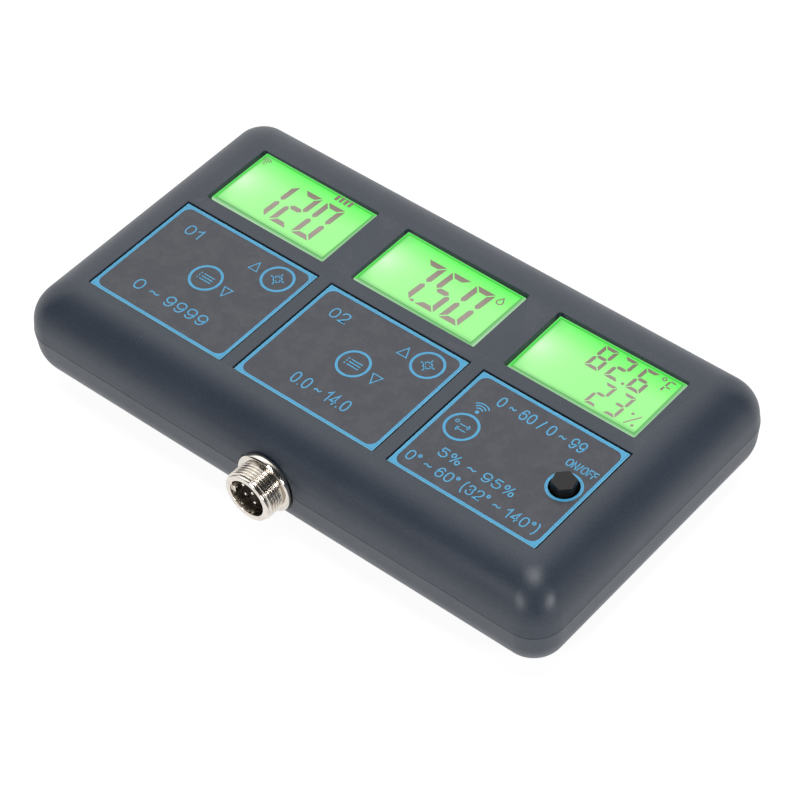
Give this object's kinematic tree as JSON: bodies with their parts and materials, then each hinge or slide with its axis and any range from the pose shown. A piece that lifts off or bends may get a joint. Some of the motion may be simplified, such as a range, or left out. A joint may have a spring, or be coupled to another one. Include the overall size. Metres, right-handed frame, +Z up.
{
  "type": "water quality monitor",
  "caption": "Flat bench monitor in a two-shell plastic case with backlit displays, keypad panels under them, a push power button and a round threaded probe socket.",
  "frame": {"origin": "centre of the flat underside that the case rests on", "axes": "+X along the length in reading direction, +Y towards the displays and away from the probe socket, +Z up out of the keypad face"},
  "size_m": [0.19, 0.1125, 0.0359],
  "materials": {
    "case_plastic": "fine moulded texture, satin blue-grey",
    "keypad_film": "printed polyester film, satin grey with light blue line work",
    "switch_plastic": "moulded black",
    "cap_plastic": "satin black moulded cap",
    "white_plastic": "natural moulded",
    "display_glass": "backlit green liquid crystal glass",
    "display_film": "polariser film",
    "light_guide": "green lit diffuser",
    "tinned_wire": "tinned",
    "circuit_board": "solder mask",
    "screw_steel": "dark zinc plate",
    "chip_resin": "moulded resin",
    "capacitor_sleeve": "shrunk sleeve",
    "radio_can": "tinned can on a board",
    "nickel_plate": "nickel plated brass",
    "insulator_resin": "moulded black",
    "contact_metal": "silver plated",
    "gasket_rubber": "black rubber",
    "boot_rubber": "shrunk boot",
    "cable_jacket": "flexible jacket"
  },
  "bodies": {
    "case": {"amplifier_chips": "chip_resin", "backlight_left": "light_guide", "backlight_middle": "light_guide", "backlight_right": "light_guide", "board_screws": "screw_steel", "capacitors": "capacitor_sleeve", "case_screws": "screw_steel", "connector_boot": "boot_rubber", "connector_gasket": "gasket_rubber", "connector_insulator": "insulator_resin", "connector_nut": "nickel_plate", "connector_pins": "contact_metal", "connector_shell": "nickel_plate", "controller_chips": "chip_resin", "display_film_left": "display_film", "display_film_middle": "display_film", "display_film_right": "display_film", "display_glass_left": "display_glass", "display_glass_middle": "display_glass", "display_glass_right": "display_glass", "display_leads": "tinned_wire", "front_cover": "case_plastic", "humidity_sensor": "white_plastic", "keypad_sheet_left": "keypad_film", "keypad_sheet_middle": "keypad_film", "keypad_sheet_right": "keypad_film", "main_board": "circuit_board", "power_switch_body": "switch_plastic", "radio_module": "radio_can", "rear_cover": "case_plastic", "sensor_board": "circuit_board", "sensor_lead": "cable_jacket", "signal_cable": "cable_jacket", "signal_header": "white_plastic", "signal_plug": "white_plastic", "tact_switches": "switch_plastic", "voltage_regulator": "chip_resin"},
    "mode_key_left_body": {"mode_key_left": "keypad_film", "mode_key_stem_left": "switch_plastic"},
    "calibrate_key_left_body": {"calibrate_key_left": "keypad_film", "calibrate_key_stem_left": "switch_plastic"},
    "mode_key_middle_body": {"mode_key_middle": "keypad_film", "mode_key_stem_middle": "switch_plastic"},
    "calibrate_key_middle_body": {"calibrate_key_middle": "keypad_film", "calibrate_key_stem_middle": "switch_plastic"},
    "unit_key_right_body": {"unit_key_right": "keypad_film", "unit_key_stem_right": "switch_plastic"},
    "power_button": {"power_button_cap": "cap_plastic", "power_switch_plunger": "white_plastic"}
  },
  "joints": [
    {"name": "mode_key_left_press", "type": "slide", "parent": "case", "child": "mode_key_left_body", "axis": [0, 0, -1], "range_m": [0, 0.00025], "stiffness_N_per_m": 4000},
    {"name": "calibrate_key_left_press", "type": "slide", "parent": "case", "child": "calibrate_key_left_body", "axis": [0, 0, -1], "range_m": [0, 0.00025], "stiffness_N_per_m": 4000},
    {"name": "mode_key_middle_press", "type": "slide", "parent": "case", "child": "mode_key_middle_body", "axis": [0, 0, -1], "range_m": [0, 0.00025], "stiffness_N_per_m": 4000},
    {"name": "calibrate_key_middle_press", "type": "slide", "parent": "case", "child": "calibrate_key_middle_body", "axis": [0, 0, -1], "range_m": [0, 0.00025], "stiffness_N_per_m": 4000},
    {"name": "unit_key_right_press", "type": "slide", "parent": "case", "child": "unit_key_right_body", "axis": [0, 0, -1], "range_m": [0, 0.00025], "stiffness_N_per_m": 4000},
    {"name": "power_button_press", "type": "slide", "parent": "case", "child": "power_button", "axis": [0, 0, 1], "range_m": [-0.0005, 0.0015]}
  ]
}
